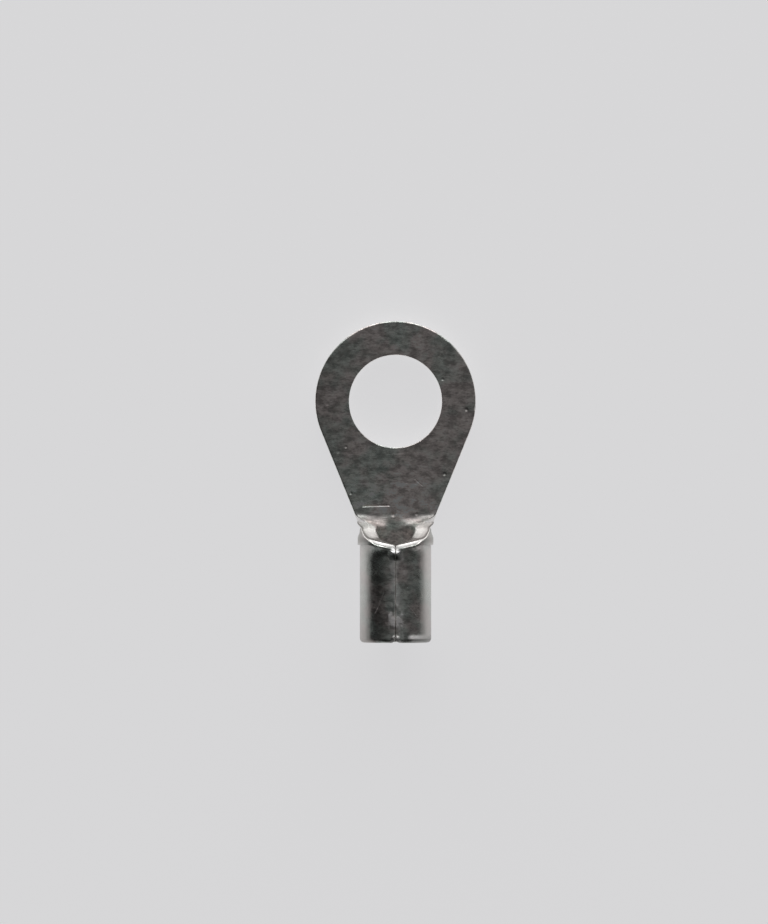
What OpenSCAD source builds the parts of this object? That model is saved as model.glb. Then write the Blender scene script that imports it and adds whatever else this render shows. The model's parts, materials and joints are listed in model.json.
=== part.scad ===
// Uninsulated crimp ring terminal, stamped and rolled from one blank of tin-plated copper sheet.
// Origin: centre of the stud hole, on the underside that meets the busbar or the table.
// +Z is up (the seam's side), +Y points to the tip of the ring, the wire comes in from -Y.

/* [Sheet] */
// Thickness of the sheet
sheet_t = 0.75; // [0.5:0.05:0.9]
// Edge break that the punch leaves round the upper side
edge_roll = 0.08; // [0.04:0.01:0.12]

/* [Ring and tongue] */
// Diameter of the stud hole
stud_hole_d = 4.3; // [3.2:0.1:5]
// Outside diameter of the ring
ring_d = 7.44; // [7:0.02:8.4]
// Distance from the stud hole to the neck, where the sheet starts to curl
tongue_len = 5; // [4.5:0.05:6.5]
// Width of the neck
neck_w = 3.96; // [3.8:0.02:4.2]

// How far the forming die pinches the neck in, on each side
neck_pinch = 0.12; // [0:0.01:0.16]

/* [Barrel] */
// Outside diameter of the barrel
barrel_d = 3.3; // [3:0.05:3.5]
// Length of the curl, from the neck to the barrel's front rim beside the seam
curl_len = 1.65; // [1.5:0.05:2.4]
// Length of the barrel, from its front rim to the wire end
barrel_len = 4.5; // [4.2:0.05:6]
// Gap left where the two rolled edges meet
seam_gap = 0.02; // [0.02:0.01:0.1]
// Depth of the groove between the rounded edges of the seam
seam_groove = 0.06; // [0.05:0.01:0.15]
// Radius on the barrel's outer edge at the wire end
end_round = 0.2; // [0.1:0.01:0.3]
// Bevel inside the wire end, which guides the strands in
wire_bevel = 0.12; // [0.05:0.01:0.2]
// Radius of the blank's corners, where the seam meets the wire end
end_corner_r = 0.22; // [0.1:0.01:0.35]

/* [Wings] */
// Slope of a wing's root edge, which rises from the neck
root_slope = 35; // [32:1:42]
// Slope of a wing's rim edge, which ends at the seam
rim_slope = 16; // [10:1:20]
// How far round the barrel the rim edge begins, in degrees from the bottom
rim_turn = 129; // [118:1:140]
// Radius where the root edge leaves the neck
root_r = 0.15; // [0.1:0.01:0.2]
// Radius where the root edge meets the rim edge
shoulder_r = 0.5; // [0.3:0.05:0.7]
// Radius of a wing's front corner on the outer side of the seam
rim_corner_r = 0.2; // [0.12:0.01:0.22]
// How far the rim's outer edge slopes back along the barrel
rim_round = 0.2; // [0.1:0.01:0.2]
// How far down the rim's edge this slope begins
rim_drop = 0.2; // [0.1:0.01:0.25]
// Height of the lip that stands proud of the barrel behind the rim
lip_h = 0.1; // [0.03:0.01:0.12]
// Length of the lip along the barrel
lip_len = 0.65; // [0.5:0.05:0.8]

/* [Wire grip] */
// Number of grooves pressed across the inside of the barrel
grip_count = 3; // [1:1:3]
// Distance between two grooves
grip_pitch = 0.85; // [0.7:0.05:1]
// Width of a groove at the bore
grip_w = 0.3; // [0.15:0.05:0.4]
// Depth of a groove
grip_depth = 0.06; // [0.03:0.01:0.1]

/* [Hidden] */
tin = [0.66, 0.65, 0.63];
$fn = 96;

ring_r = ring_d / 2;
stud_hole_r = stud_hole_d / 2;
barrel_r = barrel_d / 2;
bore_r = barrel_r - sheet_t;
mid_r = barrel_r - sheet_t / 2;        // radius of the middle of the rolled sheet
rim_y = tongue_len + curl_len;         // distances from the stud hole
barrel_end_y = rim_y + barrel_len;
seam_dip = 0.35;                       // the lip reaches this much further back at the seam
lip_back_y = rim_y + seam_dip + 0.05;  // where the lip ends, at the seam
tube_y = rim_y + seam_dip + 0.2;       // the plain tube starts here
hold_y = -rim_y + 0.09;                // away from the seam, the lip ends just behind this y
root_round = 0.04;                     // edge break on the outside of a wing's root edge

eps = 0.02;                            // depth by which solids that join run into each other
skin = 0.01;                           // the curl's end lies this far inside the tube's wall

// The tongue's sides leave the ring at a tangent. They are drawn to a circle a little smaller
// than the ring, so that each side crosses the ring's edge instead of only touching it.
side_r = ring_r - 0.002;
taper = asin(side_r / norm([neck_w / 2, tongue_len])) - atan(neck_w / 2 / tongue_len);

// ---- Outline of the blank, in flat coordinates: u across from the centre line, y along ----

seam_u = mid_r * PI - seam_gap / 2;    // half width at the seam, with half of the gap left free
shoulder_u = mid_r * rim_turn * PI / 180;
shoulder_y = -rim_y + (seam_u - shoulder_u) * tan(rim_slope);

// A line is [angle of its outward normal, distance from the origin along that normal]
function normal(line) = [cos(line[0]), sin(line[0])];
function line_through(p, angle) = [angle, p * [cos(angle), sin(angle)]];
function inset_line(line, by) = [line[0], line[1] - by];
function crossing(a, b) =
    let (m = normal(a), n = normal(b))
    [a[1] * n[1] - b[1] * m[1], m[0] * b[1] - n[0] * a[1]] / cross(m, n);

taper_side = [-taper, side_r];
root_edge = line_through([shoulder_u, shoulder_y], 90 - root_slope);
rim_edge = line_through([shoulder_u, shoulder_y], 90 - rim_slope);
seam_edge = [0, seam_u];

// Round between two lines. The side is 1 at an outer corner and -1 at an inner one.
function round_corner(a, b, r, side, steps) =
    let (c = crossing(inset_line(a, side * r), inset_line(b, side * r)))
    [for (i = [0 : steps])
        let (t = a[0] + (b[0] - a[0]) * i / steps) c + side * r * [cos(t), sin(t)]];

function between(p, q, steps) = [for (i = [1 : steps - 1]) p + (q - p) * i / steps];

// One side of the outline from the ring to the seam, with each line moved in by its own inset
// and each inner corner widened to match. All outlines have the same number of points. Each point
// carries its u, its y, the y at which it is held away from the seam, and the depth of its edge's
// lower slope.
function outline(insets, corner) =
    let (side = inset_line(taper_side, insets[0]),
         root = inset_line(root_edge, insets[1]),
         rim = inset_line(rim_edge, insets[2]),
         seam = inset_line(seam_edge, insets[3]),
         tangent = side[1] * normal(side),
         neck = [(side[1] + tongue_len * sin(side[0])) / cos(side[0]), -tongue_len],
         a = round_corner(side, root, root_r + insets[1], -1, 5),
         b = round_corner(root, rim, shoulder_r + insets[2], -1, 4),
         c = round_corner(rim, seam, corner, 1, 5),
         front = concat([tangent, neck], between(neck, a[0], 8), a, between(a[5], b[0], 4), b,
             between(b[4], c[0], 6)),
         rear = [for (y = [lip_back_y, lip_back_y + 0.08, tube_y - 0.03]) [seam_u, -y]])
    [for (p = concat(front, c, rear))
        let (on_rim = smooth((p[0] - shoulder_u + 0.5) / 0.5))
        [p[0], p[1], max(p[1], hold_y), root_round + (rim_drop - root_round) * on_rim]];

// ---- Curl: the flat blank bends into the barrel ----

function smooth(s) = let (c = min(1, max(0, s))) c * c * (3 - 2 * c);

rolled_len = curl_len - 0.77;          // from the neck, the sheet is fully rolled after this
curl_power = 2.2;                      // makes the curl start gently and finish fast

// How far the curl has come at y, from 0 to 1
function curl(y) = pow(smooth((-y - tongue_len) / rolled_len), curl_power);

// How far the neck is pinched in at y
function pinch(y) =
    neck_pinch * smooth((-y - tongue_len - 0.25) / 0.35) * (1 - smooth((-y - tongue_len - 0.7) / 0.25));

// Height of the lip at y, where the section has turned by an angle from the bottom
function lip(y, turn) =
    lip_h * smooth((abs(turn) - 20) / 60)
        * smooth((-y - rim_y + lip_len) / (lip_len / 2)) * (y > -lip_back_y - 0.04 ? 1 : 0);

// Point of the formed sheet: a share of the way across, a point of the outline, and up from
// the sheet's middle. Behind the place where y is held, it spreads out only towards the seam.
function formed(share, p, up) =
    let (k = curl(p[1]) / mid_r,
         turn = k * share * p[0] * 180 / PI,
         spread = p[1] < -tube_y ? 1 : 0.15 + 0.85 * smooth((abs(turn) - 150) / 30),
         y = p[2] + (p[1] - p[2]) * spread,
         out = up < -sheet_t / 2 + 0.05 ? up - lip(p[1], turn) : up)
    k < 0.001
        ? [share * (p[0] - pinch(p[1])), y, sheet_t / 2 + up]
        : [sin(turn) * (1 / k - out) - share * pinch(p[1]), y,
            sheet_t / 2 + (1 - cos(turn)) / k + out * cos(turn)];

across = 32;                           // strips across the sheet

// Closed section of the sheet, through matching points of its three outlines
function section(inner, edge, outer, half_t) = concat(
    [for (i = [0 : across]) formed(2 * i / across - 1, inner, half_t)],
    [formed(1, edge, half_t - edge_roll), formed(1, edge, -half_t + edge[3])],
    [for (i = [0 : across]) formed(1 - 2 * i / across, outer, -half_t)],
    [formed(-1, edge, -half_t + edge[3]), formed(-1, edge, half_t - edge_roll)]);

// Faces that close the section whose points start at n
function end_faces(n) =
    let (m = n + 2 * across + 3)
    concat(
        [for (i = [0 : across - 1], f = [[n + i, n + i + 1, m - i - 1], [n + i, m - i - 1, m - i]]) f],
        [for (i = [1, 2]) [n + across, n + across + i, n + across + i + 1]],
        [for (i = [0, 1]) [n, m + i, m + i + 1]]);

// Tongue and neck, from the ring to the start of the tube
module curled_neck() {
    inner = outline([edge_roll, edge_roll, edge_roll, edge_roll], edge_roll);
    edge = outline([0, 0, 0, 0], 2 * edge_roll);
    outer = outline([0, root_round, rim_round, 0], rim_corner_r);
    end_y = -tube_y - eps;
    end_edge = [seam_u - skin, end_y, end_y, rim_drop];
    end_face = [seam_u - 2 * skin, end_y, end_y, rim_drop];
    sections = concat(
        [for (i = [0 : len(edge) - 1]) section(inner[i], edge[i], outer[i], sheet_t / 2)],
        [section(end_face, end_edge, end_face, sheet_t / 2 - skin)]);
    size = len(sections[0]);
    walls = [
        for (s = [0 : len(sections) - 2], i = [0 : size - 1])
        let (a = s * size + i, b = s * size + (i + 1) % size)
        for (f = [[a, b, b + size], [a, b + size, a + size]]) f];
    polyhedron(
        points = [for (s = sections) each s],
        faces = concat(
            [for (f = end_faces(0)) [f[2], f[1], f[0]]],
            walls,
            end_faces((len(sections) - 1) * size)));
}

module ring() {
    cylinder(r = ring_r, h = sheet_t - edge_roll);
    translate([0, 0, sheet_t - edge_roll - eps])
        cylinder(r = ring_r - edge_roll, h = eps);
    translate([0, 0, sheet_t - edge_roll])
        cylinder(r1 = ring_r, r2 = ring_r - edge_roll, h = edge_roll);
}

// Punched hole, with the broken edge on the upper side
module stud_hole() {
    translate([0, 0, -1])
        cylinder(r = stud_hole_r, h = sheet_t + 2);
    translate([0, 0, sheet_t - edge_roll])
        cylinder(r1 = stud_hole_r, r2 = stud_hole_r + 2 * edge_roll, h = 2 * edge_roll);
}

// Grooves of the wire grip, as points of the bore's profile from the front to the wire end
function grip_points() = [
    for (i = [0 : grip_count - 1])
    let (y = (tube_y + barrel_end_y) / 2 + (i - (grip_count - 1) / 2) * grip_pitch)
    each [
        [bore_r, y - grip_w / 2],
        [bore_r + grip_depth, y - grip_w / 4],
        [bore_r + grip_depth, y + grip_w / 4],
        [bore_r, y + grip_w / 2]]];

// Rolled tube behind the rim. The two sides of the gap at the seam lie along radii.
module wire_barrel() {
    gap = seam_gap / 2 / mid_r * 180 / PI;
    profile = concat(
        [[bore_r, tube_y]],
        grip_points(),
        [[bore_r, barrel_end_y - wire_bevel], [bore_r + wire_bevel, barrel_end_y]],
        [for (i = [0 : 6]) let (t = 90 - 15 * i)
            [barrel_r - end_round + end_round * cos(t), barrel_end_y - end_round + end_round * sin(t)]],
        [[barrel_r, tube_y]]);
    translate([0, 0, barrel_r])
        rotate([90, 0, 0])
            rotate([0, 0, 90 + gap])
                rotate_extrude(angle = 360 - 2 * gap)
                    polygon(profile);
}

// The outer edges of the seam are rounded off, which leaves a groove along the barrel
module seam_edges() {
    translate([0, -barrel_end_y - 1, barrel_d])
        rotate([0, 45, 0])
            translate([-seam_groove, 0, -seam_groove])
                cube([2 * seam_groove, barrel_end_y + 1 - rim_y - seam_dip + 0.1, 2 * seam_groove]);
}

// The blank's rounded corners leave a notch where the seam meets the wire end
module seam_corners() {
    r = end_corner_r;
    left = [for (i = [0 : 6]) let (t = 15 * i) [-r + r * cos(t), -barrel_end_y + r - r * sin(t)]];
    right = [for (i = [6 : -1 : 1]) let (t = 15 * i) [r - r * cos(t), -barrel_end_y + r - r * sin(t)]];
    translate([0, 0, barrel_r])
        linear_extrude(barrel_d)
            polygon(concat(left, [[-r, -barrel_end_y - 1], [r, -barrel_end_y - 1]], right));
}

module ring_terminal() {
    color(tin)
        difference() {
            union() {
                ring();
                curled_neck();
                wire_barrel();
            }
            stud_hole();
            seam_edges();
            seam_corners();
        }
}

ring_terminal();
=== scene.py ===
import json
import math
from functools import partial, reduce
from itertools import accumulate

import bpy
import numpy as np
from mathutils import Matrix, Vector


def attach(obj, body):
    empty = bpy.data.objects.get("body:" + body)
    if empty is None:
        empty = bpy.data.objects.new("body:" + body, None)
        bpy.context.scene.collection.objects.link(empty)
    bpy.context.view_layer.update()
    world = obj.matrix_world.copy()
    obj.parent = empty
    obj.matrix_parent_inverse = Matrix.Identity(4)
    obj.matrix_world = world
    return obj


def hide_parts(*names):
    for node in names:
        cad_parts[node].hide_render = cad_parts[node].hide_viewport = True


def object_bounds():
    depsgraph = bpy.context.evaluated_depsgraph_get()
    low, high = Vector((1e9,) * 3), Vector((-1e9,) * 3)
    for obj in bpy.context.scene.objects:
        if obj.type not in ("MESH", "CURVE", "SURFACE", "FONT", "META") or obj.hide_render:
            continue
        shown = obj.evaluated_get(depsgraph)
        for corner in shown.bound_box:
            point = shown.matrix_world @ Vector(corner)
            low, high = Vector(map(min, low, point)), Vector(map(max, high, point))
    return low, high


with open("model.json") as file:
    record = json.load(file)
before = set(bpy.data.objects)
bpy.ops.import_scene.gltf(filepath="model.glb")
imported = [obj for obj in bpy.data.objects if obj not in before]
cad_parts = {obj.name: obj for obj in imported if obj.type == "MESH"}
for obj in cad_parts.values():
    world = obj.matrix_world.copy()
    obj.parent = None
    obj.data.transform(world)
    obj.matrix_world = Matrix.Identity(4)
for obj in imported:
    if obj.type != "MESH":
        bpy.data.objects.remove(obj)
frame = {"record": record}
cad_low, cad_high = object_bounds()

# An uninsulated crimp ring terminal, rolled from one blank of tin-plated copper sheet.
# The stud hole's centre is the origin, +Y points to the ring's tip and the wire comes in from -Y.
# The sheet is worked out in millimetres, and becomes metres where its mesh is made.

MM = 0.001

# ---------------------------------------------------------------- sizes of the sheet, in mm

mounts = {mount["name"]: mount for mount in frame["record"]["mounts"]}


def in_mm(metres):
    """A length of the frame in mm, without the little that its facets take off."""
    return round(metres / MM, 2)


T = in_mm(mounts["washer_face"]["pos_m"][2])           # sheet thickness
HOLE_R = mounts["stud_hole"]["dims"]["r_mm"]
RING_R = in_mm(cad_high[0])
BARREL_R = in_mm(mounts["wire_barrel"]["pos_m"][2])    # outside, as the barrel lies on z = 0
END_Y = in_mm(-cad_low[1])                             # stud hole to wire end

TONGUE = 5.0                # stud hole to neck, where the sheet starts to curl
NECK_W = 3.96
CURL = 1.65                 # neck to the barrel's rim
ROLLED = CURL - 0.77        # from the neck, the sheet is fully rolled after this
CURL_POWER = 2.2            # makes the curl start gently and finish fast
MIN_CURL = 1e-3             # below this curvature the sheet counts as flat

PINCH = 0.12                # how far the neck is pinched in, on each side
PINCH_FROM, PINCH_RISE = 0.25, 0.35     # from the neck
PINCH_TO, PINCH_FALL = 0.7, 0.25

ROOT_SLOPE = math.radians(35)           # of a wing's root edge, which rises from the neck
RIM_SLOPE = math.radians(16)            # of a wing's rim edge, which ends at the seam
RIM_TURN = math.radians(129)            # how far round the barrel the rim edge begins
ROOT_R = 0.15                           # radius between the tongue's side and the root edge
SHOULDER_R = 0.5                        # radius between the root edge and the rim edge

ROLL = 0.08                 # edge break of the upper side
HOLE_BREAK = 0.04           # edge break of the stud hole
HOLE_WALL_UP = 0.24         # the hole's wall is plain up to this height over the sheet's middle
UNDER_BREAK = 0.03          # edge break of the underside, across
UNDER_DROP = 0.05           # the same, down
ROOT_ROUND = 0.04           # edge break of the root edge, on the underside
RIM_ROUND = 0.2             # how far the rim's outer edge slopes back
RIM_DROP = 0.12             # how far down the rim's edge this slope begins
RIM_POWER = 1.5             # shape of this slope
RIM_CORNER = 0.2            # radius of a wing's front corner, on the underside
WALL_CORNER = 0.16          # the same, at the middle of the sheet
INNER_CORNER = 0.1          # the same, on the upper side

SEAM_GAP = 0.02
SEAM_BREAK = 0.02           # edge break of the seam, inside the barrel
SEAM_ROUND = 0.03           # edge break of the seam, outside
END_ROUND = 0.2             # edge round of the wire end, outside
WIRE_BEVEL = 0.12           # bevel of the wire end, inside
END_CORNER = 0.22           # radius of the blank's corners at the wire end

LIP_H = 0.1                 # the lip stands this far proud of the barrel behind the rim
LIP_LEN = 0.65
LIP_FALL = 0.08             # the lip's back end falls over this length
LIP_ROWS = (0.0, 0.025, 0.055, LIP_FALL)
LIP_TURN, LIP_TURN_RISE = math.radians(20), math.radians(60)
LIP_SIDE, LIP_SIDE_RISE = 0.3, 0.5      # shares of the way from the sheet's middle to its outside
SEAM_DIP = 0.35             # the lip reaches this much further back at the seam

GRIP_COUNT = 3              # grooves across the inside of the barrel
GRIP_PITCH = 0.85
GRIP_W = 0.3
GRIP_DEPTH = 0.06
GRIP_SIDE = 0.3             # they reach the levels over this height from the sheet's middle

MID_R = BARREL_R - T / 2    # radius of the middle of the rolled sheet
RIM_Y = TONGUE + CURL
LIP_BACK = RIM_Y + SEAM_DIP + 0.05      # where the lip ends, at the seam
TUBE_Y = RIM_Y + SEAM_DIP + 0.2         # the plain tube starts here
TUBE_GAP = 0.02                         # between there and the tube's first row

HOLD_Y = -(RIM_Y - 0.09)    # away from the seam, the lip ends just behind this y
HOLD_TURN = math.radians(135)
GATHERED = 0.15             # share of their spacing that the rows behind this y keep
SPREAD_TURN, SPREAD_RISE = math.radians(165), math.radians(15)

TAPER = math.asin(RING_R / math.hypot(NECK_W / 2, TONGUE)) - math.atan2(NECK_W / 2, TONGUE)
SEAM_U = MID_R * math.pi - SEAM_GAP / 2
SHOULDER_U = MID_R * RIM_TURN
SHOULDER_Y = -RIM_Y + (SEAM_U - SHOULDER_U) * math.tan(RIM_SLOPE)
START_Y = -2.75             # the rows of the sheet start here, between the stud hole and the neck


def smooth(s):
    """Smooth step from 0 to 1."""
    c = np.clip(s, 0, 1)
    return c * c * (3 - 2 * c)


def blend(a, b, share):
    return a * (1 - share) + b * share


# ---------------------------------------------------------------- outline of the blank
# u runs across the flat blank from its middle line, and y along it.
# A line is (angle of its outward normal, distance from the origin along that normal).

# Rows of points along a wing's edge, stretch by stretch from the tongue to the wire end
STRETCHES = dict(tongue=40, root_arc=11, root=9, shoulder=9, rim=15, corner=11, lip=len(LIP_ROWS),
                 tube=50, end_arc=8)
FIRST_ROW = dict(zip(STRETCHES, accumulate(STRETCHES.values(), initial=0)))
ROW_COUNT = sum(STRETCHES.values())


def line(p, angle):
    """Line through a point."""
    return angle, p[0] * math.cos(angle) + p[1] * math.sin(angle)


def inset(a, by):
    """The line moved inward."""
    return a[0], a[1] - by


def crossing(a, b):
    """Point where two lines meet."""
    m = np.array([[math.cos(a[0]), math.sin(a[0])], [math.cos(b[0]), math.sin(b[0])]])
    return np.linalg.solve(m, [a[1], b[1]])


def at_y(a, y):
    """Point of a line at y."""
    return np.array([(a[1] - y * math.sin(a[0])) / math.cos(a[0]), y])


def arc(a, b, r, side, count):
    """Points of the round between two lines. Side is 1 where the corner points outward, else -1."""
    c = crossing(inset(a, side * r), inset(b, side * r))
    t = np.linspace(a[0], b[0], count)
    return c + side * r * np.stack([np.cos(t), np.sin(t)], axis=1)


def between(p, q, count):
    """Evenly spaced points between two points, without these two."""
    steps = count + 1
    return [p + (q - p) * i / steps for i in range(1, steps)]


SIDE = (-TAPER, RING_R)
ROOT = line((SHOULDER_U, SHOULDER_Y), math.pi / 2 - ROOT_SLOPE)
RIM = line((SHOULDER_U, SHOULDER_Y), math.pi / 2 - RIM_SLOPE)
SEAM = (0.0, SEAM_U)
END = (-math.pi / 2, END_Y)


def outline(level):
    """Rows of (u, y, held) from START_Y to the wire end, for one level of the edge's profile.

    Held is 1 for the rows in front of the plain tube. Away from the seam, these are gathered
    behind the lip.
    """
    n = STRETCHES
    side, root, rim = inset(SIDE, level["side"]), inset(ROOT, level["root"]), inset(RIM, level["rim"])
    seam, end = inset(SEAM, level["seam"]), inset(END, level["end"])
    first = at_y(side, START_Y)
    root_arc = arc(side, root, ROOT_R + level["root"], -1, n["root_arc"])
    shoulder = arc(root, rim, SHOULDER_R + level["rim"], -1, n["shoulder"])
    corner = arc(rim, seam, level["corner"], 1, n["corner"])
    end_arc = arc(seam, end, END_CORNER, 1, n["end_arc"] + 1)
    along_seam = [-LIP_BACK - step for step in LIP_ROWS]
    along_seam += list(np.linspace(-TUBE_Y - TUBE_GAP, end_arc[0][1], n["tube"]))
    rows = [first] + between(first, root_arc[0], n["tongue"] - 1) + list(root_arc)
    rows += between(root_arc[-1], shoulder[0], n["root"]) + list(shoulder)
    rows += between(shoulder[-1], corner[0], n["rim"]) + list(corner)
    rows += [np.array([seam[1], y]) for y in along_seam] + list(end_arc[1:])
    held = np.arange(ROW_COUNT) < FIRST_ROW["tube"]
    return np.column_stack([np.array(rows), held])


# ---------------------------------------------------------------- forming of the sheet


def curl(y):
    """Share of the full curl: 0 up to the neck, 1 in the barrel."""
    return smooth((-y - TONGUE) / ROLLED) ** CURL_POWER


def pinch(y):
    """How far the neck is pinched in."""
    rise = smooth((-y - TONGUE - PINCH_FROM) / PINCH_RISE)
    return PINCH * rise * (1 - smooth((-y - TONGUE - PINCH_TO) / PINCH_FALL))


def lip(y, turn):
    """How far the lip stands proud. It fades out towards the bottom of the barrel."""
    shape = LIP_H * smooth((np.abs(turn) - LIP_TURN) / LIP_TURN_RISE)
    front = smooth((-y - RIM_Y + LIP_LEN) / (LIP_LEN / 2))
    back = 1 - smooth((-y - LIP_BACK) / LIP_FALL)
    return shape * front * back


def grip(y):
    """Depth of the grip grooves across the inside of the barrel."""
    depth = np.zeros_like(y)
    for i in range(GRIP_COUNT):
        middle = -(TUBE_Y + END_Y) / 2 + (i - (GRIP_COUNT - 1) / 2) * GRIP_PITCH
        groove = GRIP_DEPTH * smooth((GRIP_W / 2 - np.abs(y - middle)) / (GRIP_W / 4))
        depth = np.maximum(depth, groove)
    return depth


def formed(share, row, up):
    """Point of the formed sheet, in mm.

    Share goes from -1 at the left edge to 1 at the right edge and may be an array. Row is
    (u, y, held), and up is the height over the sheet's middle.
    """
    u, y, held = row
    k = curl(y) / MID_R
    turn = k * share * u
    angle = np.abs(turn)
    spread = GATHERED + (1 - GATHERED) * smooth((angle - SPREAD_TURN) / SPREAD_RISE)
    stop = HOLD_Y - np.maximum(angle - HOLD_TURN, 0) * MID_R * math.tan(RIM_SLOPE)
    placed = np.where((y < stop) & (held > 0), stop + (y - stop) * spread, y)
    if up < 0:
        out = up - lip(y, turn) * smooth((-up / (T / 2) - LIP_SIDE) / LIP_SIDE_RISE)
    else:
        out = up - grip(placed) * (up > GRIP_SIDE)
    flat = k < MIN_CURL
    safe = np.where(flat, 1.0, k)
    x = np.where(flat, share * u, np.sin(turn) * (1 / safe - out)) - share * pinch(y)
    z = np.where(flat, T / 2 + up, T / 2 + (1 - np.cos(turn)) / safe + out * np.cos(turn))
    return np.stack(np.broadcast_arrays(x, placed, z), axis=-1)


# ---------------------------------------------------------------- profile of the sheet's edge
# Levels go from the upper side (inside of the barrel) to the underside (outside of the barrel).
# Each says how far it moves the lines of the outline in, the radius of a wing's front corner, and
# its height over the sheet's middle: on the tongue, at the rim, at the seam and at the wire end.

UPPER_STEPS, UNDER_STEPS = 5, 6
WALL_UPS = (0.15, 0.0, -0.12)
WIDER = 1.8                 # the wall's levels lie this much further apart away from the rim
CLOSER = 0.8                # and this much closer at the wire end, which has a large round
END_WALL_UP = 0.05

LEVELS = []
for i in range(UPPER_STEPS + 1):
    turn = math.radians(90 * i / UPPER_STEPS)
    across, down = 1 - math.sin(turn), 1 - math.cos(turn)
    height = T / 2 - ROLL * down
    LEVELS.append(dict(
        side=ROLL * across, root=ROLL * across, rim=ROLL * across, seam=SEAM_BREAK * across,
        end=WIRE_BEVEL * across, corner=INNER_CORNER,
        up=height, up_rim=height, up_seam=height, up_end=T / 2 - WIRE_BEVEL * down))
for height in WALL_UPS:
    LEVELS.append(dict(
        side=0.0, root=0.0, rim=0.0, seam=0.0, end=0.0, corner=WALL_CORNER,
        up=height * WIDER, up_rim=height, up_seam=height * WIDER,
        up_end=height * CLOSER + END_WALL_UP))
for i in range(UNDER_STEPS + 1):
    turn = math.radians(90 * i / UNDER_STEPS)
    across, rest = 1 - math.cos(turn), 1 - math.sin(turn)
    LEVELS.append(dict(
        side=UNDER_BREAK * across, root=ROOT_ROUND * across, rim=RIM_ROUND * (1 - rest) ** RIM_POWER,
        seam=SEAM_ROUND * across, end=END_ROUND * across, corner=blend(WALL_CORNER, RIM_CORNER, across),
        up=-T / 2 + UNDER_DROP * rest, up_rim=-T / 2 + RIM_DROP * rest,
        up_seam=-T / 2 + SEAM_ROUND * rest, up_end=-T / 2 + END_ROUND * rest))

ROWS = [outline(level) for level in LEVELS]
INNER_LEVELS = range(1, len(LEVELS) - 1)    # those between the two faces of the sheet


def passed(row, first, count):
    """0 up to the first row, 1 from count rows later on."""
    return smooth((row - first) / count)


def level_up(level, row):
    """Height of a level in a row, as one profile passes into the next."""
    up = blend(level["up"], level["up_rim"], passed(row, FIRST_ROW["shoulder"] - 4, 8))
    up = blend(up, level["up_seam"], passed(row, FIRST_ROW["corner"], 10))
    return blend(up, level["up_end"], passed(row, FIRST_ROW["end_arc"] - 13, 12))


# ---------------------------------------------------------------- mesh of the tongue and the barrel

verts = []
faces = []


def add(points):
    """Adds points to the mesh and gives their numbers."""
    start = len(verts)
    verts.extend(np.asarray(points, dtype=float).reshape(-1, 3).tolist())
    return list(range(start, len(verts)))


def quads(a, b, flip=False):
    """Adds quads between two lists of point numbers of the same length."""
    for i in range(len(a) - 1):
        q = (a[i], a[i + 1], b[i + 1], b[i])
        faces.append(q[::-1] if flip else q)


# Shares across the sheet, even but for the first and last, which lie close to the edges
COLUMNS = 96
EDGE_SHARE = 0.985
SHARES = np.linspace(-1, 1, COLUMNS + 1)
SHARES[1], SHARES[-2] = -EDGE_SHARE, EDGE_SHARE

upper_ids, under_ids, right_ids, left_ids = [], [], [], []
for k in range(ROW_COUNT):
    ups = [level_up(level, k) for level in LEVELS]
    upper_ids.append(add(formed(SHARES, ROWS[0][k], ups[0])))
    under_ids.append(add(formed(SHARES, ROWS[-1][k], ups[-1])))
    for share, edge_ids, column in ((1.0, right_ids, -1), (-1.0, left_ids, 0)):
        edge = add([formed(share, ROWS[j][k], ups[j]) for j in INNER_LEVELS])
        edge_ids.append([upper_ids[k][column]] + edge + [under_ids[k][column]])

for k in range(ROW_COUNT - 1):
    quads(upper_ids[k], upper_ids[k + 1], True)
    quads(under_ids[k], under_ids[k + 1])
    quads(right_ids[k], right_ids[k + 1], True)
    quads(left_ids[k], left_ids[k + 1])

# Wire end: a grid between the two edges, along the profile
end_grid = [upper_ids[-1]]
for j in INNER_LEVELS:
    across = add(formed(SHARES[1:-1], ROWS[j][-1], level_up(LEVELS[j], ROW_COUNT - 1)))
    end_grid.append([left_ids[-1][j]] + across + [right_ids[-1][j]])
end_grid.append(under_ids[-1])
for a, b in zip(end_grid[:-1], end_grid[1:]):
    quads(a, b, True)

# ---------------------------------------------------------------- mesh of the ring with the stud hole

SIDE_POINTS, TIP_POINTS = 17, 151


def ring_outline(by):
    """Outline of the ring, from the right end of the first row over the tip to its left end."""
    side = inset(SIDE, by)
    low = at_y(side, START_Y)
    touch = np.array([math.cos(-TAPER), math.sin(-TAPER)]) * side[1]
    right = [low] + between(low, touch, SIDE_POINTS)
    turns = np.linspace(-TAPER, math.pi + TAPER, TIP_POINTS)
    tip = [np.array([math.cos(a), math.sin(a)]) * side[1] for a in turns]
    left = [np.array([-p[0], p[1]]) for p in right[::-1]]
    return np.array(right + tip + left)


ring_ids = []
for j, level in enumerate(LEVELS):
    p = ring_outline(level["side"])
    points = np.column_stack([p, np.full(len(p), T / 2 + level["up"])])
    ring_ids.append([right_ids[0][j]] + add(points[1:-1]) + [left_ids[0][j]])
for a, b in zip(ring_ids[:-1], ring_ids[1:]):
    quads(a, b, True)

# Upper side and underside: each loop closes along the first row of the sheet, from left to right
upper_loop = ring_ids[0] + upper_ids[0][1:-1]
under_loop = ring_ids[-1] + under_ids[0][1:-1]


def wrap(ids):
    """The loop with its first point at the end again."""
    return ids + [ids[0]]


def plan(ids):
    """Places of points as seen from above."""
    return np.array([verts[i][:2] for i in ids])


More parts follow.
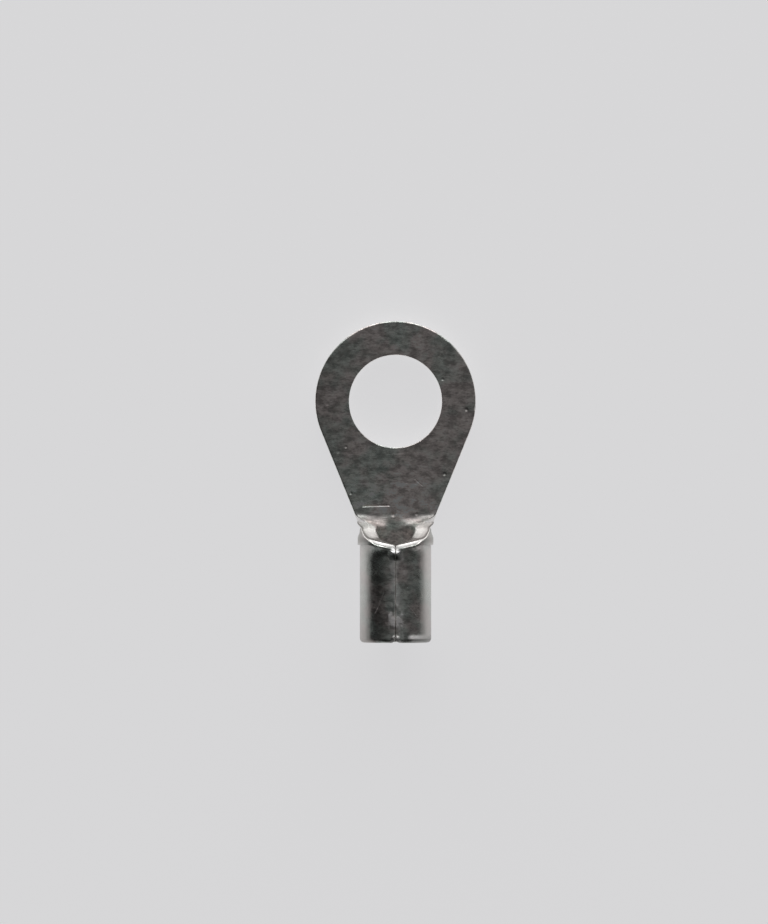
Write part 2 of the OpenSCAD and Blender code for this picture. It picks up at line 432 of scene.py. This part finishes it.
# Profile of the hole from the underside up: how much wider it is, and the height over the middle
BREAK_STEPS = 5
HOLE_WALL = [(0.0, -T / 2), (0.0, 0.0), (0.0, HOLE_WALL_UP)]
HOLE_EDGE = []
for i in range(BREAK_STEPS + 1):
    turn = math.radians(90 * i / BREAK_STEPS)
    edge_wider = HOLE_BREAK * (1 - math.cos(turn))
    HOLE_EDGE.append((edge_wider, T / 2 - HOLE_BREAK + HOLE_BREAK * math.sin(turn)))

loop_xy = plan(upper_loop)
hole_turns = np.arctan2(loop_xy[:, 1], loop_xy[:, 0])
hole_ids = []
for wider, height in HOLE_WALL + HOLE_EDGE:
    r = HOLE_R + wider
    level_z = np.full(len(hole_turns), T / 2 + height)
    hole_ids.append(add(np.column_stack([r * np.cos(hole_turns), r * np.sin(hole_turns), level_z])))
for a, b in zip(hole_ids[:-1], hole_ids[1:]):
    quads(wrap(a), wrap(b), True)

# Shares of the way from the hole to the outline, closer together at both edges
RING_SHARES = [0.03] + list(np.linspace(0.12, 0.9, 11)) + [0.97]


def fill_ring(inner, outer, z, flip):
    """Fills the flat face between the hole and the outline."""
    start, stop = plan(inner), plan(outer)
    previous = inner
    for share in RING_SHARES:
        p = start + (stop - start) * share
        ids = add(np.column_stack([p, np.full(len(p), z)]))
        quads(wrap(previous), wrap(ids), flip)
        previous = ids
    quads(wrap(previous), wrap(outer), flip)


fill_ring(hole_ids[-1], upper_loop, T, True)
fill_ring(hole_ids[0], under_loop, 0.0, False)

mesh = bpy.data.meshes.new("terminal")
mesh.from_pydata((np.array(verts) * MM).tolist(), [], faces)
mesh.update()

# ---------------------------------------------------------------- where the plating differs, and where shade is painted
# Punched marks the bright cut edge. The second share is painted shadow, a dark line along the wings'
# cut edges, and the third is painted shade, a dark reflection on the corner where the wings' edges were
# rolled. Each holds a share for every point.

PUNCHED_LEVELS = slice(4, -3)

# Shares of the levels, from the upper side to the underside: the first two tables of the painted shadow
# line, the third of the painted shade on the rolled corner
EDGE_SHADOW_AT_ROOT = np.array([0, 0, 0, 0, 0, 0, 0, 0, 0.25, 1, 0.5, 0, 0, 0, 0, 0])
EDGE_SHADOW_AT_RIM = np.array([0, 0, 0, 0.7, 0.7, 0.7, 0.7, 0.7, 0.75, 1, 0, 0, 0, 0, 0, 0])
CORNER_SHADE_SHARES = np.array([0, 0, 0, 0.4, 0.8, 1, 0.6, 0.2, 0, 0, 0, 0, 0, 0, 0, 0])

shares = {name: np.zeros(len(verts)) for name in ("punched", "painted_edge_shadow", "turned")}
# Along the wings, the painted shadow line and the painted shade on the rolled corner fade in and out
for k in range(ROW_COUNT):
    at_rim = passed(k, FIRST_ROW["shoulder"] + 2, 6)
    edge_shadow_share = passed(k, FIRST_ROW["root_arc"] + 4, 6) * (1 - passed(k, FIRST_ROW["corner"], 8))
    corner_shade_share = passed(k, FIRST_ROW["root_arc"] + 6, 5) * (1 - passed(k, FIRST_ROW["corner"] + 2, 8))
    for ids in (right_ids[k], left_ids[k]):
        shares["punched"][ids[PUNCHED_LEVELS]] = 1.0
        shares["painted_edge_shadow"][ids] = edge_shadow_share * blend(EDGE_SHADOW_AT_ROOT, EDGE_SHADOW_AT_RIM, at_rim)
        shares["turned"][ids] = corner_shade_share * CORNER_SHADE_SHARES
for ids in ring_ids[PUNCHED_LEVELS] + hole_ids[:len(HOLE_WALL)]:
    shares["punched"][ids] = 1.0

for name, values in shares.items():
    mesh.attributes.new(name, "FLOAT", "POINT").data.foreach_set("value", values)
for polygon in mesh.polygons:
    polygon.use_smooth = True
terminal = bpy.data.objects.new("terminal", mesh)
bpy.context.scene.collection.objects.link(terminal)
terminal.modifiers.new("normals", "WEIGHTED_NORMAL").keep_sharp = True

# ---------------------------------------------------------------- shader nodes
# add_node puts its node in `tree`. Each material and the world set it to their own node tree.
# A value is a number, a vector, a colour or another node's output.


def emptied(owner):
    """Node tree of a material or the world, without its first nodes."""
    owner.use_nodes = True
    owner.node_tree.nodes.clear()
    return owner.node_tree


def add_node(kind, **settings):
    n = tree.nodes.new(kind)
    for key, value in settings.items():
        setattr(n, key, value)
    return n


def feed(socket, value):
    """Links a socket to a node's output, or sets it to a plain value."""
    if hasattr(value, "is_linked"):
        tree.links.new(value, socket)
    else:
        socket.default_value = value


def calc(operation, *values):
    n = add_node("ShaderNodeMath", operation=operation)
    for socket, value in zip(n.inputs, values):
        feed(socket, value)
    return n.outputs[0]


def plus(*values):
    return reduce(partial(calc, "ADD"), values)


def minus(a, b):
    return calc("SUBTRACT", a, b)


def times(*values):
    return reduce(partial(calc, "MULTIPLY"), values)


def most(*values):
    return reduce(partial(calc, "MAXIMUM"), values)


def size_of(value):
    return calc("ABSOLUTE", value)


def hypotenuse(a, b):
    return calc("SQRT", plus(times(a, a), times(b, b)))


def ramp(value, low, high, start=0.0, end=1.0):
    """Smooth step of a value: start at low and end at high, of which either may be the larger."""
    n = add_node("ShaderNodeMapRange", interpolation_type="SMOOTHSTEP")
    for socket, v in zip(n.inputs, (value, low, high, start, end)):
        feed(socket, v)
    return n.outputs[0]


def vector_math(operation, *values, output=0):
    n = add_node("ShaderNodeVectorMath", operation=operation)
    for socket, value in zip(n.inputs, values):
        feed(socket, value)
    return n.outputs[output]


def scaled(vector, by):
    n = add_node("ShaderNodeVectorMath", operation="SCALE")
    feed(n.inputs[0], vector)
    feed(n.inputs["Scale"], by)
    return n.outputs[0]


def axes_of(vector):
    n = add_node("ShaderNodeSeparateXYZ")
    feed(n.inputs[0], vector)
    return n.outputs


def mix_colour(share, a, b):
    """Colour a where the share is 0, and colour b where it is 1."""
    n = add_node("ShaderNodeMix", data_type="RGBA")
    for socket, value in zip((n.inputs[0], n.inputs[6], n.inputs[7]), (share, a, b)):
        feed(socket, value)
    return n.outputs[2]


# ---------------------------------------------------------------- tin plate
# All lengths in this material are millimetres: object coordinates are scaled once, at the start.

ROUGHNESS = 0.3             # of the plated sheet
PUNCHED_ROUGHNESS = 0.45    # of the cut edges

# Colours of the plating, which drifts between the first three
GREENISH_TIN = (0.67, 0.735, 0.69, 1)
PINKISH_TIN = (0.82, 0.745, 0.725, 1)
BROWNISH_TIN = (0.68, 0.62, 0.58, 1)
SOLDER = (0.92, 0.9, 0.9, 1)
PLAIN_TIN = (0.72, 0.71, 0.68, 1)
CUT_TIN = (0.97, 0.95, 0.93, 1)
# Painted shade: a dark reflection on the corner where the wings' edges were rolled
CORNER_SHADE_COLOUR = (0.3, 0.29, 0.28, 1)
# Painted shade across the bend at the neck
BEND_SHADE_COLOUR = (0.22, 0.215, 0.21, 1)
# Painted shadow: the dark line along the wings' cut edges
EDGE_SHADOW_COLOUR = (0.12, 0.105, 0.095, 1)
# Painted shade of a notch behind the drop at the rim
NOTCH_SHADE_COLOUR = (0.1, 0.09, 0.085, 1)

# Places that the masks below are measured from
NECK_Y = -TONGUE
FRONT_Y = -RIM_Y
CROWN_Z = 2 * BARREL_R

# A mark shows only where z is over one of these heights
ON_SHEET = T - 0.2
ON_BARREL = CROWN_Z - 0.8
ON_CROWN = CROWN_Z - 1.3
ON_UPPER_HALF = CROWN_Z - 1.8

# Dings in the plating, at the places that the photograph shows: x, y, z, radius and depth
DINGS = (
    (-0.12, -5.24, 0.78, 0.16, 0.05),
    (0.97, -5.2, 0.8, 0.12, 0.035),
    (2.18, 1.02, 0.75, 0.11, 0.03),
    (3.28, -0.37, 0.75, 0.13, 0.04),
    (2.27, -3.36, 0.75, 0.13, 0.04),
    (-2.08, -4.25, 0.75, 0.12, 0.035),
    (-2.64, -2.32, 0.75, 0.14, 0.022),
    (-2.3, -2.1, 0.75, 0.11, 0.03),
    (-3.14, -0.13, 0.75, 0.12, 0.018),
    (3.72, -0.33, 0.62, 0.2, 0.09),
    (-0.95, -7.9, 3.0, 0.12, 0.012),
    (-0.6, -7.0, 3.2, 0.12, 0.012),
    (0.55, -8.1, 3.2, 0.13, 0.014),
    (0.6, -10.2, 3.18, 0.15, 0.016),
)
# Strokes across the surface, sunk or raised: start, end, width, height and where they show
STROKES = (
    ((-0.1, -7.07), (0.08, -7.09), 0.3, 0.13, ON_CROWN),           # solder drop at the rim
    ((0.0, -11.0), (0.04, -11.0), 0.24, 0.12, ON_UPPER_HALF),      # solder drop at the wire end
    ((0.8, -11.02), (1.45, -11.02), 0.28, 0.1, ON_UPPER_HALF),     # burr at the wire end
    ((-1.5, -4.86), (-0.3, -4.82), 0.07, -0.026, ON_SHEET),        # press mark by the neck
    ((-1.3, -4.94), (-0.4, -4.91), 0.08, -0.005, ON_SHEET),
    ((-0.4, -2.42), (0.5, -2.38), 0.08, -0.008, ON_SHEET),
    ((0.9, -3.6), (1.25, -3.9), 0.05, -0.01, ON_SHEET),
    ((-0.5, -8.8), (-0.95, -9.75), 0.05, -0.012, ON_BARREL),
    ((0.6, -9.4), (1.0, -9.9), 0.04, -0.008, ON_BARREL),
)

tin = bpy.data.materials.new("tin_plate")
tree = emptied(tin)
point = scaled(add_node("ShaderNodeTexCoord").outputs["Object"], 1 / MM)
px, py, pz = axes_of(point)


def noise(scale, detail=2.0, stretch=(1, 1, 1), turn=0.0, rough=0.5):
    placed = add_node("ShaderNodeMapping")
    feed(placed.inputs["Vector"], point)
    feed(placed.inputs["Scale"], stretch)
    feed(placed.inputs["Rotation"], (0, 0, turn))
    n = add_node("ShaderNodeTexNoise")
    settings = dict(Vector=placed.outputs[0], Scale=scale, Detail=detail, Roughness=rough)
    for name, value in settings.items():
        feed(n.inputs[name], value)
    return n.outputs["Fac"]


def spot(x, y, z, radius):
    """1 at a point, falling smoothly to 0 at the radius."""
    return ramp(vector_math("DISTANCE", point, (x, y, z), output="Value"), 0.0, radius, 1.0, 0.0)


def stroke(start, end, width, over):
    """1 along a line seen from above, falling to 0 at the width, only where z is over a height."""
    (x0, y0), (x1, y1) = start, end
    long = math.hypot(x1 - x0, y1 - y0)
    ux, uy = (x1 - x0) / long, (y1 - y0) / long
    dx = minus(px, (x0 + x1) / 2)
    dy = minus(py, (y0 + y1) / 2)
    along = plus(times(dx, ux), times(dy, uy))
    aside = minus(times(dy, ux), times(dx, uy))
    beyond = most(minus(size_of(along), long / 2), 0.0)
    near = ramp(hypotenuse(beyond, aside), 0.0, width, 1.0, 0.0)
    return times(near, ramp(pz, over - 0.05, over))


def mask(name):
    return add_node("ShaderNodeAttribute", attribute_name=name).outputs["Fac"]


def inverse(share):
    return minus(1.0, share)


# Rolling grain, handling scratches and the clouds of the plating
grain = noise(7.0, 3.0, (0.7, 2.2, 1.0))
fine_grain = noise(15.0, 3.0, (0.5, 1.6, 1.0), 0.35)
tarnish = noise(2.4, 5.0, (0.8, 1.4, 1.0), 0.15, rough=0.7)
cloud = noise(0.75, 3.0)
patches = noise(2.2, 3.0)
scratches = ramp(noise(4.2, 2.0, (1.0, 3.0, 1.0), 0.2), 0.66, 0.84)
cross_scratches = ramp(noise(5.0, 2.0, (3.2, 0.8, 1.0), 0.5), 0.68, 0.86)

punched = mask("punched")
# painted shadow: a dark line along the wings' cut edges
painted_edge_shadow = mask("painted_edge_shadow")
# painted shade: a dark reflection on the wings' rolled corner
turned = mask("turned")

# The seam is closed with solder. It shows as dull pale blotches, most of all behind, and as a drop at
# each end, whose pale colour is partly a painted glint. A burr lies beside the drop at the wire end,
# and its pale colour is partly a painted reflection.
from_seam = size_of(plus(px, times(minus(patches, 0.5), 0.9)))
blotches = ramp(noise(2.4, 3.0, (1, 0.8, 1)), 0.36, 0.54)
crown = ramp(pz, CROWN_Z - 0.4, CROWN_Z - 0.2)
rear = ramp(py, FRONT_Y - 2.45, FRONT_Y - 3.05, 0.5, 1.0)
solder = times(ramp(from_seam, 0.1, 0.42, 1.0, 0.0), crown, rear, blotches)
# The burr's pale colour is partly a painted reflection on the wire end's edge
burr_and_painted_reflection = most(stroke((0.7, -10.9), (1.55, -10.95), 0.22, ON_UPPER_HALF),
            stroke((-0.02, -10.9), (0.06, -10.95), 0.12, CROWN_Z - 0.7))
# The drops' pale colour is partly a painted glint
drops_and_painted_glints = most(ramp(stroke((-0.1, -6.93), (0.08, -6.95), 0.26, ON_CROWN), 0.2, 0.5),
             ramp(stroke((-0.02, -10.95), (0.04, -10.95), 0.16, ON_UPPER_HALF), 0.2, 0.5))
# Painted shade of a notch: a dark spot behind the drop at the rim
painted_notch_shade = stroke((-0.02, -7.25), (0.02, -7.25), 0.16, ON_CROWN)     # behind the drop at the rim
behind_rim = ramp(py, FRONT_Y - 0.65, FRONT_Y - 0.15, 1.0, 0.0)
on_seam = ramp(size_of(px), 0.04, 0.1, 1.0, 0.0)
# Along the seam behind the rim, the pale strip is partly painted light over the groove's shade
brazed_and_painted_light = times(on_seam, ramp(pz, CROWN_Z - 0.7, CROWN_Z - 0.5), behind_rim)
# Pale solder colour, with painted glints, a painted reflection and painted light among it
solder_and_painted_light = most(solder, burr_and_painted_reflection, drops_and_painted_glints, times(brazed_and_painted_light, 0.35))

# The barrel's outer flanks, which are cleaner and smoother than its crown
from_axis = hypotenuse(px, minus(pz, BARREL_R))
flank = times(ramp(from_axis, BARREL_R - 0.25, BARREL_R - 0.1),
              times(ramp(pz, CROWN_Z - 0.65, CROWN_Z - 0.35, 1.0, 0.0),
                    ramp(py, NECK_Y - 0.7, NECK_Y - 0.3, 1.0, 0.0)))

# The neck: roughened where the sheet was drawn up, with painted shade across the bend that dims its
# reflection
drawn = times(ramp(py, NECK_Y, NECK_Y - 0.5), ramp(py, FRONT_Y - 0.05, FRONT_Y + 0.25))
painted_bend_shade = times(ramp(py, NECK_Y - 0.1, NECK_Y - 0.24), ramp(py, NECK_Y - 0.6, NECK_Y - 0.4),
             inverse(punched))
bend_shade_sides = ramp(size_of(px), 0.4, 0.9)

dings = plus(*[times(spot(x, y, z, radius), -depth) for x, y, z, radius, depth in DINGS])
strokes = plus(*[times(stroke(start, end, width, over), height)
                 for start, end, width, height, over in STROKES])
worn = plus(times(grain, 0.005), times(fine_grain, 0.003), times(scratches, -0.006),
            times(cross_scratches, -0.004))
relief = plus(dings, strokes, times(worn, ramp(flank, 0.0, 1.0, 1.0, 0.35)), times(solder, 0.02),
              times(patches, 0.012))
bump = add_node("ShaderNodeBump")
feed(bump.inputs["Distance"], MM)
feed(bump.inputs["Height"], relief)

# Colour: the drifting tint, then how bright it is with tarnish and painted light, then what lies over
# it
colour = mix_colour(ramp(cloud, 0.4, 0.6), GREENISH_TIN, PINKISH_TIN)
colour = mix_colour(ramp(patches, 0.3, 0.7, 0.0, 0.35), colour, BROWNISH_TIN)
# Painted light: the plating is brighter toward the neck, dimmer just past it and dimmer on the ring's
# left side
painted_light_toward_neck = times(ramp(py, -2.5, NECK_Y - 0.1, 1.0, 1.25),
                    ramp(py, NECK_Y - 0.3, NECK_Y - 0.8, 1.0, 0.75),
                    ramp(px, -3.6, -1.5, 0.84, 1.0))
tarnish_and_painted_light = times(ramp(tarnish, 0.34, 0.66, 0.6, 1.3), ramp(grain, 0.3, 0.7, 0.9, 1.1), painted_light_toward_neck)
brightness = plus(times(tarnish_and_painted_light, ramp(flank, 0.0, 1.0, 1.0, 0.25)), ramp(flank, 0.0, 1.0, 0.0, 0.7))
colour = scaled(colour, brightness)
for share, over in (
    # solder, with painted glints, a painted reflection and painted light among it
    (times(solder_and_painted_light, 0.85), SOLDER),
    (times(flank, 0.6), PLAIN_TIN),
    (times(punched, 0.9), CUT_TIN),
    # painted shade of the notch behind the drop at the rim
    (times(painted_notch_shade, 0.9), NOTCH_SHADE_COLOUR),
    # painted shade on the wings' rolled corner
    (times(turned, 0.75), CORNER_SHADE_COLOUR),
    # painted shade across the bend at the neck
    (times(painted_bend_shade, bend_shade_sides, 0.8), BEND_SHADE_COLOUR),
    # painted shadow along the wings' cut edges
    (times(painted_edge_shadow, 0.9), EDGE_SHADOW_COLOUR),
):
    colour = mix_colour(share, colour, over)

roughness = plus(
    ROUGHNESS,
    times(minus(cloud, 0.5), 0.14),
    times(minus(fine_grain, 0.5), 0.12),
    times(scratches, 0.1),
    times(solder, 0.38),
    times(burr_and_painted_reflection, 0.4),
    times(brazed_and_painted_light, 0.2),
    times(drawn, 0.3, inverse(punched)),
    times(punched, PUNCHED_ROUGHNESS - ROUGHNESS),
)

metal = add_node("ShaderNodeBsdfPrincipled")
feed(metal.inputs["Metallic"], minus(inverse(times(solder, 0.55)), times(burr_and_painted_reflection, 0.4)))
feed(metal.inputs["Base Color"], colour)
feed(metal.inputs["Roughness"], roughness)
feed(metal.inputs["Normal"], bump.outputs[0])
feed(add_node("ShaderNodeOutputMaterial").inputs["Surface"], metal.outputs[0])
terminal.data.materials.append(tin)

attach(terminal, "root")
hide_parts("ring_terminal")

# ---------------------------------------------------------------- floor
# The floor glows for the camera, so that it comes out pale and even, and keeps the shadow. The metal
# sees this glow close by and less of it further away.

FLOOR_HALF = 0.6            # in metres, as all that follows
FLOOR_COLOUR = (0.72, 0.725, 0.715, 1)
GLOW_COLOUR = (0.909, 0.905, 0.919, 1)
GLOW_SHARE = 0.7
MIRRORED_NEAR, MIRRORED_FAR = 0.005, 0.02
MIRRORED_FAR_SHARE = 0.15

corners = [(x * FLOOR_HALF, y * FLOOR_HALF, 0) for x, y in ((-1, -1), (1, -1), (1, 1), (-1, 1))]
floor_mesh = bpy.data.meshes.new("floor")
floor_mesh.from_pydata(corners, [], [(0, 1, 2, 3)])
floor = bpy.data.objects.new("floor", floor_mesh)
bpy.context.scene.collection.objects.link(floor)

pale = bpy.data.materials.new("floor")
tree = emptied(pale)
ray = add_node("ShaderNodeLightPath").outputs
from_hole = vector_math("LENGTH", add_node("ShaderNodeTexCoord").outputs["Object"], output="Value")
mirrored = times(ray["Is Glossy Ray"],
                 ramp(from_hole, MIRRORED_NEAR, MIRRORED_FAR, 1.0, MIRRORED_FAR_SHARE))
seen = most(ray["Is Camera Ray"], ray["Is Transmission Ray"], mirrored)
diffuse = add_node("ShaderNodeBsdfDiffuse")
feed(diffuse.inputs["Color"], FLOOR_COLOUR)
glow = add_node("ShaderNodeEmission")
feed(glow.inputs["Color"], GLOW_COLOUR)
floor_mix = add_node("ShaderNodeMixShader")
parts = (times(seen, GLOW_SHARE), diffuse.outputs[0], glow.outputs[0])
for socket, value in zip(floor_mix.inputs, parts):
    feed(socket, value)
feed(add_node("ShaderNodeOutputMaterial").inputs["Surface"], floor_mix.outputs[0])
floor.data.materials.append(pale)

# ---------------------------------------------------------------- light and camera
# A soft sky, brightest beyond the ring's tip, and one wide low window on that side.

SKY = 0.02                  # strength of the sky on every side
SKY_AHEAD = 0.6             # added toward +Y, between these two heights of the direction's Y
SKY_AHEAD_FROM, SKY_AHEAD_FULL = 0.3, 0.95
SKY_RIGHT = 0.06            # added toward +X
SKY_TOP = 0.075             # added straight above
SKY_TOP_FROM = 0.6
BACKDROP = 0.67             # what the camera sees of it
WINDOW_POWER = 1.3          # in watts
WINDOW_W, WINDOW_H = 0.7, 0.18
WINDOW_Y, WINDOW_Z = 0.5, 0.09

world = bpy.data.worlds.new("studio")
bpy.context.scene.world = world
tree = emptied(world)
east, north, zenith = axes_of(add_node("ShaderNodeTexCoord").outputs["Generated"])
sky = plus(ramp(north, SKY_AHEAD_FROM, SKY_AHEAD_FULL, 0.0, SKY_AHEAD),
           ramp(east, 0.0, 1.0, 0.0, SKY_RIGHT), ramp(zenith, SKY_TOP_FROM, 1.0, 0.0, SKY_TOP), SKY)
to_camera = add_node("ShaderNodeLightPath").outputs["Is Camera Ray"]
background = add_node("ShaderNodeBackground")
feed(background.inputs["Color"], (1, 1, 1, 1))
feed(background.inputs["Strength"], plus(times(sky, inverse(to_camera)), times(to_camera, BACKDROP)))
feed(add_node("ShaderNodeOutputWorld").inputs["Surface"], background.outputs[0])

light = bpy.data.lights.new("window", "AREA")
light.shape = "RECTANGLE"
light.size, light.size_y = WINDOW_W, WINDOW_H
light.energy = WINDOW_POWER
window = bpy.data.objects.new("window", light)
window.location = (0, WINDOW_Y, WINDOW_Z)
window.rotation_euler = Vector((0, -1, 0)).to_track_quat("-Z", "Y").to_euler()
window.visible_camera = False
bpy.context.scene.collection.objects.link(window)

# Straight above. The picture is VIEW_H high where it cuts the sheet's upper side.
SENSOR_H = 36               # in mm, like the lens
EYE_X, EYE_Y, EYE_Z = -0.5324 * MM, -2.8102 * MM, 0.5
VIEW_H = 42.7778 * MM

camera = bpy.data.cameras.new("camera")
camera.sensor_fit = "VERTICAL"
camera.sensor_height = SENSOR_H
camera.lens = SENSOR_H * (EYE_Z - T * MM) / VIEW_H
camera.clip_start = 0.01
camera.clip_end = 5
eye = bpy.data.objects.new("camera", camera)
eye.location = (EYE_X, EYE_Y, EYE_Z)
bpy.context.scene.collection.objects.link(eye)
bpy.context.scene.camera = eye
bpy.context.scene.view_settings.view_transform = "Standard"
